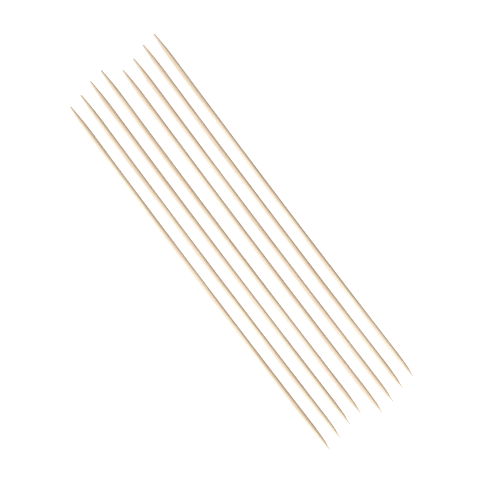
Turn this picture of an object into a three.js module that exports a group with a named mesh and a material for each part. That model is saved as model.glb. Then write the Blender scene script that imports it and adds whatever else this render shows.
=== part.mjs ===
// Eight double pointed knitting needles in pale wood, laid loose and side by side on a flat surface,
// in two fours. Each needle is one turned rod: a slim point with a blunt nose, a plain round shank and a
// keen point with a sharp tip. Millimetres, +Z up. +X runs along the needles towards their keen points, and
// +Y across them, from the first needle to the last. The origin is on the surface, under the middle of
// the set.
import * as THREE from "three";

// One needle
const LENGTH = 200; // from point to point
const GAUGE = 2.5; // diameter of the shank
const BOW = 0.6; // how far the middle of the rod bends aside, towards -Y
const SLIM_POINT = { length: 16, noseRadius: 0.5 }; // the point at -X
// The point at +X: the shank thins a little to a shoulder, and a sharp tip runs from there to the nose
const KEEN_POINT = {
  length: 16,
  shoulderRadius: 0.91,
  tipLength: 5,
  noseRadius: 0.22,
};
const HOLLOW = 1.4; // how hollow the sharp tip is: 1 is a straight cone

// How the needles lie: across is the distance from the first of a four, and along is the distance pushed
// towards +X
const FOUR = [
  { across: 0, along: 0 },
  { across: 7.1, along: -1.3 },
  { across: 14.5, along: -3.7 },
  { across: 21.6, along: -4.8 },
];
const FOUR_STARTS = [
  { across: 0, along: 0 },
  { across: 29.7, along: 1.2 },
];

// Fineness of the solids
const SIDES = 16; // a multiple of 4, so that flats face down and sideways
const NOSE_STEPS = 2;
const TAPER_STEPS = 4;
const SHANK_STEPS = 8;

const RADIUS = GAUGE / 2;
const CORNER_SCALE = 1 / Math.cos(Math.PI / SIDES); // puts the flats, not the corners, at the radius

const wood = new THREE.MeshStandardMaterial({
  color: 0xe3d0b9,
  roughness: 0.55,
  metalness: 0,
});

// How a taper widens: each turns a share of the way along it into a share of the change in its radius.
// A swelling taper rises steeply and eases off, and a hollow one starts slim and steepens.
const swelling = (share) => Math.sin((share * Math.PI) / 2);
const hollow = (share) => share ** HOLLOW;

// Outlines are lists of a distance from the point's end and the radius there. This one is a round nose,
// from its end to just short of its full radius.
function noseOutline(radius) {
  const outline = [];
  for (let i = 0; i < NOSE_STEPS; i++) {
    const angle = ((i / NOSE_STEPS) * Math.PI) / 2;
    outline.push({
      distance: radius * (1 - Math.cos(angle)),
      radius: radius * Math.sin(angle),
    });
  }
  return outline;
}

// A taper from one place to just short of the next
function taperOutline(from, to, widening) {
  const outline = [];
  for (let i = 0; i < TAPER_STEPS; i++) {
    const share = i / TAPER_STEPS;
    outline.push({
      distance: from.distance + (to.distance - from.distance) * share,
      radius: from.radius + (to.radius - from.radius) * widening(share),
    });
  }
  return outline;
}

function slimOutline() {
  const { length, noseRadius } = SLIM_POINT;
  const nose = { distance: noseRadius, radius: noseRadius };
  const shank = { distance: length, radius: RADIUS };
  return [
    ...noseOutline(noseRadius),
    ...taperOutline(nose, shank, swelling),
    shank,
  ];
}

function keenOutline() {
  const { length, shoulderRadius, tipLength, noseRadius } = KEEN_POINT;
  const nose = { distance: noseRadius, radius: noseRadius };
  const shoulder = { distance: tipLength, radius: shoulderRadius };
  const shank = { distance: length, radius: RADIUS };
  return [
    ...noseOutline(noseRadius),
    ...taperOutline(nose, shoulder, hollow),
    ...taperOutline(shoulder, shank, swelling),
    shank,
  ];
}

// The whole needle's outline, from the slim point's end to the keen point's, for a lathe about the Y axis
function needleOutline() {
  const corner = (radius, along) =>
    new THREE.Vector2(radius * CORNER_SCALE, along);
  const slimEnd = slimOutline().map(({ distance, radius }) =>
    corner(radius, distance - LENGTH / 2),
  );
  const keenEnd = keenOutline()
    .reverse()
    .map(({ distance, radius }) => corner(radius, LENGTH / 2 - distance));
  const shankLength = LENGTH - SLIM_POINT.length - KEEN_POINT.length;
  const shank = [];
  for (let i = 1; i < SHANK_STEPS; i++) {
    const fromSlimPoint = (shankLength * i) / SHANK_STEPS;
    shank.push(
      corner(RADIUS, SLIM_POINT.length + fromSlimPoint - LENGTH / 2),
    );
  }
  return [...slimEnd, ...shank, ...keenEnd];
}

// A straight needle along X, with a flat underneath, bent sideways into its bow
function needleGeometry() {
  const geometry = new THREE.LatheGeometry(
    needleOutline(),
    SIDES,
    Math.PI / SIDES,
  );
  geometry.rotateZ(-Math.PI / 2);
  const position = geometry.getAttribute("position");
  for (let i = 0; i < position.count; i++) {
    const halfway = position.getX(i) / (LENGTH / 2);
    position.setY(i, position.getY(i) - BOW * (1 - halfway ** 2));
  }
  geometry.computeVertexNormals();
  return geometry;
}

function makeNeedle(number, across, along) {
  const needle = new THREE.Mesh(needleGeometry(), wood);
  needle.name = "needle_" + number;
  needle.position.set(along, across, RADIUS);
  return needle;
}

// The set, with its middle over the origin
const needles = new THREE.Group();
for (const start of FOUR_STARTS) {
  for (const place of FOUR) {
    const number = needles.children.length + 1;
    needles.add(
      makeNeedle(
        number,
        start.across + place.across,
        start.along + place.along,
      ),
    );
  }
}
const middle = new THREE.Box3()
  .setFromObject(needles, true)
  .getCenter(new THREE.Vector3());
needles.position.set(-middle.x, -middle.y, 0);

export default needles;
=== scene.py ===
# Eight double pointed knitting needles in pale bamboo, lying loose on a white table in two fours, seen
# from above. Metres, in the frame of the CAD model: +Z up, +X along the needles to their keen points.
import math
import random

import bmesh
import bpy
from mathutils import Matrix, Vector


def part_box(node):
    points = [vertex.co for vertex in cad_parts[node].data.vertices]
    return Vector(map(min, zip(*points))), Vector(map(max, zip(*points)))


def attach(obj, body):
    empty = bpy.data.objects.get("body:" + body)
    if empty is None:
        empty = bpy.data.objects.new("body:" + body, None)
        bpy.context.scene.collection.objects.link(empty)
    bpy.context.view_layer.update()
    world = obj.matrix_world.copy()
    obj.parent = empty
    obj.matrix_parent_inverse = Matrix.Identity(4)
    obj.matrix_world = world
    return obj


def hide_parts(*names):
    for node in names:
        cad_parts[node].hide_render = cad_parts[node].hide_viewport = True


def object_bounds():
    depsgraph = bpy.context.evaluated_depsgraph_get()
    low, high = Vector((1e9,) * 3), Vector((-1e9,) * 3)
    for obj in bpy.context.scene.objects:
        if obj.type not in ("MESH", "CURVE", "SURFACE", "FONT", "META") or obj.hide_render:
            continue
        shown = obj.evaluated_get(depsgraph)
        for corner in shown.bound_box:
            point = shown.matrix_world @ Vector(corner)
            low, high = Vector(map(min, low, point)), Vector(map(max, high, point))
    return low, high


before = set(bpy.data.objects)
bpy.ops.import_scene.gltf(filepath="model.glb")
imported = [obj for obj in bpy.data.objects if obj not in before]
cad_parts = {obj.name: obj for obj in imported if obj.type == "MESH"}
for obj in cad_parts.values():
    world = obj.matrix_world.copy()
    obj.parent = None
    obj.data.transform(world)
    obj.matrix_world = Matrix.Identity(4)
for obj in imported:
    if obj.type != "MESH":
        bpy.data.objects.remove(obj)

cad_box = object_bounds()

MM = 0.001
NEEDLES = [f"needle_{number}" for number in range(1, 9)]

# One needle, as turned. Its length and its thickness come from its CAD node.
BOW = 0.6 * MM  # how far the middle bends aside, towards -Y
SLIM_POINT = {"length": 16 * MM, "nose": 0.5 * MM}  # the point at -X
# The point at +X: the shank thins a little to a shoulder, and a sharp tip runs from there to the nose
KEEN_POINT = {"length": 16 * MM, "shoulder": 0.91 * MM, "tip": 5 * MM, "nose": 0.22 * MM}
HOLLOW = 1.4  # how hollow the sharp tip is: 1 is a straight cone
SIDES = 40
NOSE_STEPS = 5
TAPER_STEPS = 22
SHANK_STEP = 1.5 * MM

# Sanding leaves the rod slimmest a little past its middle, by this share of its radius
WAIST = 0.05
WAIST_PLACE = 20 * MM
WAIST_REACH = 110 * MM

# It also leaves the rod a little off true, in waves along it and round it
SANDING = 0.012 * MM  # the most that the radius falls short
SANDING_LENGTH = 17 * MM  # a usual distance from one high place to the next
LENGTH_SPREAD = (0.6, 2.2)  # how much shorter or longer a wave may be than that
WAVES = 5
LOBES = (0, 1, 2, 2, 3)  # how many high places a wave may have round the rod

# Wood, in linear colours
PALE_WOOD = (0.85, 0.72, 0.58)
DEEP_WOOD = (0.76, 0.62, 0.475)
FIBRE = (0.62, 0.475, 0.335)
FIBRE_BUNDLE = (0.46, 0.32, 0.20)
PORE = (0.36, 0.25, 0.15)

# How often each part of the grain repeats in a mm: along the rod, and in the two directions across it
BROAD_TONE = (0.022, 0.45, 0.45)
STREAKS = (0.018, 1.9, 1.9)
FINE_FIBRES = (0.035, 7.5, 7.5)
BUNDLES = (0.012, 2.3, 2.3)
BUNDLE_BREAKS = (0.07, 2.1, 2.1)
PORES = (0.45, 9.0, 9.0)

# Where each needle's blank was cut from the wood
SEED = 700
WOOD_SIZE = (900, 90, 90)  # mm
GRAIN_SLOPE = 0.006  # the most that the grain runs out of line with the rod
TINT = 0.06  # the most that one needle's tone differs from the usual

# The camera looks straight down. The set is turned in the frame, and a little off its middle.
VIEW_TURN = math.radians(52.865)
VIEW_CENTRE = Vector((-1.223, 0.256)) * MM
VIEW_WIDTH = 222.71 * MM
LENS = 110.0
SENSOR = 36.0

# Light: one large soft box over the -Y side of the needles, and an even white room
KEY_TURN = math.radians(12)  # from -Y towards +X
KEY_ELEVATION = math.radians(42)
KEY_DISTANCE = 1.5
KEY_SIZE = 0.65
KEY_POWER = 23
ROOM_LIGHT = 0.545
BACKDROP = (1.0, 1.0, 1.0, 1.0)
TABLE = (0.6, 0.6, 0.6, 1.0)
TABLE_GLOW = 0.65  # for the camera only: the table looks white, and doesn't light the needles from below
TABLE_SIZE = 3.0
TABLE_GAP = 0.02 * MM


# ---------------------------------------------------------------- camera, light and table

def make_camera():
    data = bpy.data.cameras.new("camera")
    data.lens, data.sensor_width = LENS, SENSOR
    data.clip_start, data.clip_end = 0.01, 20
    camera = bpy.data.objects.new("camera", data)
    bpy.context.scene.collection.objects.link(camera)
    middle = (cad_box[0].z + cad_box[1].z) / 2
    height = VIEW_WIDTH * LENS / SENSOR
    camera.location = (VIEW_CENTRE.x, VIEW_CENTRE.y, middle + height)
    camera.rotation_euler = (0, 0, VIEW_TURN)
    bpy.context.scene.camera = camera


def make_key_light():
    """It casts no shadow, so the needles lie on plain white."""
    data = bpy.data.lights.new("key", "AREA")
    data.shape, data.size, data.energy = "SQUARE", KEY_SIZE, KEY_POWER
    data.use_shadow = False
    key = bpy.data.objects.new("key", data)
    bpy.context.scene.collection.objects.link(key)
    level = math.cos(KEY_ELEVATION)
    towards = Vector((level * math.sin(KEY_TURN), -level * math.cos(KEY_TURN), math.sin(KEY_ELEVATION)))
    key.location = towards * KEY_DISTANCE
    key.rotation_euler = towards.to_track_quat("Z", "Y").to_euler()


def make_room():
    """Even white light from all round, in front of a white backdrop."""
    world = bpy.data.worlds.new("room")
    world.use_nodes = True
    nodes, links = world.node_tree.nodes, world.node_tree.links
    nodes.clear()
    room = nodes.new("ShaderNodeBackground")
    room.inputs["Strength"].default_value = ROOM_LIGHT
    backdrop = nodes.new("ShaderNodeBackground")
    backdrop.inputs["Color"].default_value = BACKDROP
    ray = nodes.new("ShaderNodeLightPath")
    mix = nodes.new("ShaderNodeMixShader")
    out = nodes.new("ShaderNodeOutputWorld")
    links.new(ray.outputs["Is Camera Ray"], mix.inputs["Fac"])
    links.new(room.outputs["Background"], mix.inputs[1])
    links.new(backdrop.outputs["Background"], mix.inputs[2])
    links.new(mix.outputs["Shader"], out.inputs["Surface"])
    bpy.context.scene.world = world


def make_table_material():
    material = bpy.data.materials.new("table_white")
    material.use_nodes = True
    nodes, links = material.node_tree.nodes, material.node_tree.links
    shader = nodes["Principled BSDF"]
    shader.inputs["Base Color"].default_value = TABLE
    shader.inputs["Roughness"].default_value = 0.9
    shader.inputs["Specular IOR Level"].default_value = 0.0
    shader.inputs["Emission Color"].default_value = (1.0, 1.0, 1.0, 1.0)
    ray = nodes.new("ShaderNodeLightPath")
    glow = nodes.new("ShaderNodeMath")
    glow.operation = "MULTIPLY"
    glow.inputs[1].default_value = TABLE_GLOW
    links.new(ray.outputs["Is Camera Ray"], glow.inputs[0])
    links.new(glow.outputs["Value"], shader.inputs["Emission Strength"])
    return material


def make_table():
    mesh = bpy.data.meshes.new("table")
    half, level = TABLE_SIZE / 2, -TABLE_GAP
    corners = [(-half, -half, level), (half, -half, level), (half, half, level), (-half, half, level)]
    mesh.from_pydata(corners, [], [(0, 1, 2, 3)])
    mesh.materials.append(make_table_material())
    table = bpy.data.objects.new("table", mesh)
    bpy.context.scene.collection.objects.link(table)


# ---------------------------------------------------------------- wood

class Graph:
    """Short calls for making and joining the nodes of one material."""

    def __init__(self, name):
        self.material = bpy.data.materials.new(name)
        self.material.use_nodes = True
        self.nodes = self.material.node_tree.nodes
        self.links = self.material.node_tree.links
        self.shader = self.nodes["Principled BSDF"]

    def put(self, socket, value):
        if hasattr(value, "node"):
            self.links.new(value, socket)
        elif isinstance(value, tuple) and len(value) == 3 and len(socket.default_value) == 4:
            socket.default_value = (*value, 1.0)
        else:
            socket.default_value = value

    def add(self, kind, inputs, output=0, **settings):
        node = self.nodes.new("ShaderNode" + kind)
        for name, value in settings.items():
            setattr(node, name, value)
        for name, value in inputs.items():
            self.put(node.inputs[name], value)
        return node.outputs[output]

    def math(self, operation, a, b=0.0, clamp=False):
        return self.add("Math", {0: a, 1: b}, operation=operation, use_clamp=clamp)

    def scaled(self, vector, scale):
        return self.add("VectorMath", {0: vector, 1: scale}, operation="MULTIPLY")

    def noise(self, vector, detail=2.0, roughness=0.5):
        inputs = {"Vector": vector, "Scale": 1.0, "Detail": detail, "Roughness": roughness}
        return self.add("TexNoise", inputs)

    def ramp(self, value, start, end, low=0.0, high=1.0):
        inputs = {"Value": value, "From Min": start, "From Max": end, "To Min": low, "To Max": high}
        return self.add("MapRange", inputs, interpolation_type="SMOOTHSTEP")

    def mix(self, share, a, b):
        node = self.nodes.new("ShaderNodeMix")
        node.data_type = "RGBA"
        for index, value in ((0, share), (6, a), (7, b)):
            self.put(node.inputs[index], value)
        return node.outputs[2]


def make_wood():
    """Pale bamboo. Its grain is solid: it follows the place in each needle's straight blank, in mm."""
    g = Graph("pale_bamboo")
    grain = g.add("Attribute", {}, output="Vector", attribute_name="grain")
    tint = g.add("Attribute", {}, output="Fac", attribute_name="tint")

    # Broad tone: slow changes along the rod and from one side of it to the other
    broad = g.noise(g.scaled(grain, BROAD_TONE), detail=3.0)
    tone = g.math("ADD", g.ramp(broad, 0.36, 0.66), tint, clamp=True)
    colour = g.mix(tone, PALE_WOOD, DEEP_WOOD)

    # Streaks half a millimetre wide, and fine fibres many millimetres long and a tenth of one wide
    streaks = g.noise(g.scaled(grain, STREAKS), detail=3.0, roughness=0.55)
    colour = g.mix(g.ramp(streaks, 0.45, 0.68, high=0.45), colour, FIBRE)
    fibres = g.noise(g.scaled(grain, FINE_FIBRES), detail=4.0, roughness=0.62)
    fibre_share = g.ramp(fibres, 0.42, 0.66, high=0.5)
    colour = g.mix(fibre_share, colour, FIBRE)

    # Fibre bundles: thin darker cords through the rod, which fade in and out along it
    cells = {"Vector": g.scaled(grain, BUNDLES), "Scale": 1.0, "Randomness": 1.0}
    distance = g.add("TexVoronoi", cells, output="Distance")
    cord = g.ramp(distance, 0.10, 0.26, low=1.0, high=0.0)
    broken = g.ramp(g.noise(g.scaled(grain, BUNDLE_BREAKS), detail=2.0), 0.42, 0.60)
    bundle = g.math("MULTIPLY", cord, broken)
    colour = g.mix(g.math("MULTIPLY", bundle, 0.7), colour, FIBRE_BUNDLE)

    # Pores: short dark dashes
    dashes = g.noise(g.scaled(grain, PORES), detail=1.0)
    pores = g.ramp(dashes, 0.68, 0.77)
    colour = g.mix(g.math("MULTIPLY", pores, 0.6), colour, PORE)

    # A rubbed wax finish. The fibres are a little rougher, and stand proud of the bundles and pores.
    roughness = g.math("ADD", g.math("MULTIPLY", fibre_share, 0.22), 0.50)
    proud = g.math("MULTIPLY", fibres, 0.8)
    sunk = g.math("ADD", g.math("MULTIPLY", bundle, 0.35), pores)
    relief = {"Height": g.math("SUBTRACT", proud, sunk), "Strength": 0.35, "Distance": 0.02 * MM}
    g.put(g.shader.inputs["Base Color"], colour)
    g.put(g.shader.inputs["Roughness"], roughness)
    g.put(g.shader.inputs["Normal"], g.add("Bump", relief, output="Normal"))
    g.put(g.shader.inputs["Specular IOR Level"], 0.22)
    return g.material


# ---------------------------------------------------------------- needles

def nose_outline(radius):
    """(distance from the end, radius) round a nose, to just short of its full radius."""
    angles = [math.pi / 2 * step / NOSE_STEPS for step in range(NOSE_STEPS)]
    return [(radius * (1 - math.cos(angle)), radius * math.sin(angle)) for angle in angles]


def taper_outline(start, end, widening):
    """The same, from one place to just short of the next.

    widening turns a share of the way along the taper into a share of the change in its radius.
    """
    shares = [step / TAPER_STEPS for step in range(TAPER_STEPS)]
    return [
        (start[0] + (end[0] - start[0]) * share, start[1] + (end[1] - start[1]) * widening(share))
        for share in shares
    ]


def swelling(share):
    return math.sin(share * math.pi / 2)


def hollow(share):
    return share ** HOLLOW


def slim_outline(radius):
    nose, shank = SLIM_POINT["nose"], (SLIM_POINT["length"], radius)
    return nose_outline(nose) + taper_outline((nose, nose), shank, swelling) + [shank]


def keen_outline(radius):
    nose, shank = KEEN_POINT["nose"], (KEEN_POINT["length"], radius)
    shoulder = (KEEN_POINT["tip"], KEEN_POINT["shoulder"])
    tip = taper_outline((nose, nose), shoulder, hollow)
    return nose_outline(nose) + tip + taper_outline(shoulder, shank, swelling) + [shank]


def thinning(x):
    """The share of the radius that sanding leaves at x from the needle's middle."""
    return 1 - WAIST * max(0, 1 - ((x - WAIST_PLACE) / WAIST_REACH) ** 2)


def needle_outline(length, radius):
    """(place along the needle from its middle, radius), from one end to the other."""
    slim, keen = slim_outline(radius), keen_outline(radius)
    start, end = -length / 2 + slim[-1][0], length / 2 - keen[-1][0]
    steps = round((end - start) / SHANK_STEP)
    shank = [(start + (end - start) * step / steps, radius) for step in range(1, steps)]
    outline = (
        [(-length / 2 + distance, r) for distance, r in slim]
        + shank
        + [(length / 2 - distance, r) for distance, r in reversed(keen)]
    )
    return [(x, r * thinning(x)) for x, r in outline]


def sanding_waves(rng):
    """A function of place and angle that gives how far sanding left the radius from true."""
    waves = []
    for _ in range(WAVES):
        along = 2 * math.pi / (SANDING_LENGTH * rng.uniform(*LENGTH_SPREAD))
        waves.append((along, rng.choice(LOBES), rng.uniform(0, 2 * math.pi)))

    def wave(x, angle):
        heights = [1 + math.sin(along * x + lobes * angle + phase) for along, lobes, phase in waves]
        return -SANDING * sum(heights) / WAVES

    return wave


def add_skin(mesh, rings):
    """Faces from ring to ring. The first and last rings are single points."""
    for before, after in zip(rings, rings[1:]):
        for side in range(SIDES):
            turn = (side + 1) % SIDES
            if len(before) == 1:
                mesh.faces.new((before[0], after[side], after[turn]))
            elif len(after) == 1:
                mesh.faces.new((before[turn], before[side], after[0]))
            else:
                mesh.faces.new((before[side], after[side], after[turn], before[turn]))
    for face in mesh.faces:
        face.smooth = True
    bmesh.ops.recalc_face_normals(mesh, faces=mesh.faces)


def make_needle(number, node, wood):
    low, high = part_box(node)
    length, radius = high.x - low.x, (high.z - low.z) / 2
    middle = Vector(((low.x + high.x) / 2, low.y + radius, low.z + radius))
    rng = random.Random(SEED + number)
    wave = sanding_waves(rng)
    blank = Vector([rng.uniform(0, size) for size in WOOD_SIZE])
    turned = rng.uniform(0, 2 * math.pi)
    slope = Vector([rng.uniform(-GRAIN_SLOPE, GRAIN_SLOPE) for _ in range(2)])
    shade = rng.uniform(-TINT, TINT)

    mesh = bmesh.new()
    grain = []

    def add_vertex(x, r, angle):
        r = max(r + wave(x, angle) * min(1, r / radius), 0)
        y, z = r * math.cos(angle), r * math.sin(angle)
        aside = BOW * (x / (length / 2)) ** 2
        # the blank's own coordinates, turned about its length and sloped a little to the grain
        across = y * math.cos(turned) - z * math.sin(turned) + slope.x * x
        deep = y * math.sin(turned) + z * math.cos(turned) + slope.y * x
        grain.append(Vector((x, across, deep)) / MM + blank)
        return mesh.verts.new((middle.x + x, middle.y + y + aside, middle.z + z))

    rings = []
    for x, r in needle_outline(length, radius):
        sides = SIDES if r > 0 else 1
        rings.append([add_vertex(x, r, 2 * math.pi * side / SIDES) for side in range(sides)])
    add_skin(mesh, rings)
    data = bpy.data.meshes.new(f"{node}_wood")
    mesh.to_mesh(data)
    mesh.free()

    places = [value for place in grain for value in place]
    data.attributes.new("grain", "FLOAT_VECTOR", "POINT").data.foreach_set("vector", places)
    data.attributes.new("tint", "FLOAT", "POINT").data.foreach_set("value", [shade] * len(grain))
    data.materials.append(wood)
    piece = bpy.data.objects.new(f"{node}_wood", data)
    bpy.context.scene.collection.objects.link(piece)
    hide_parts(node)
    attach(piece, node)


make_camera()
make_key_light()
make_room()
make_table()
bpy.context.scene.view_settings.view_transform = "Standard"
wood = make_wood()
for number, node in enumerate(NEEDLES, start=1):
    make_needle(number, node, wood)
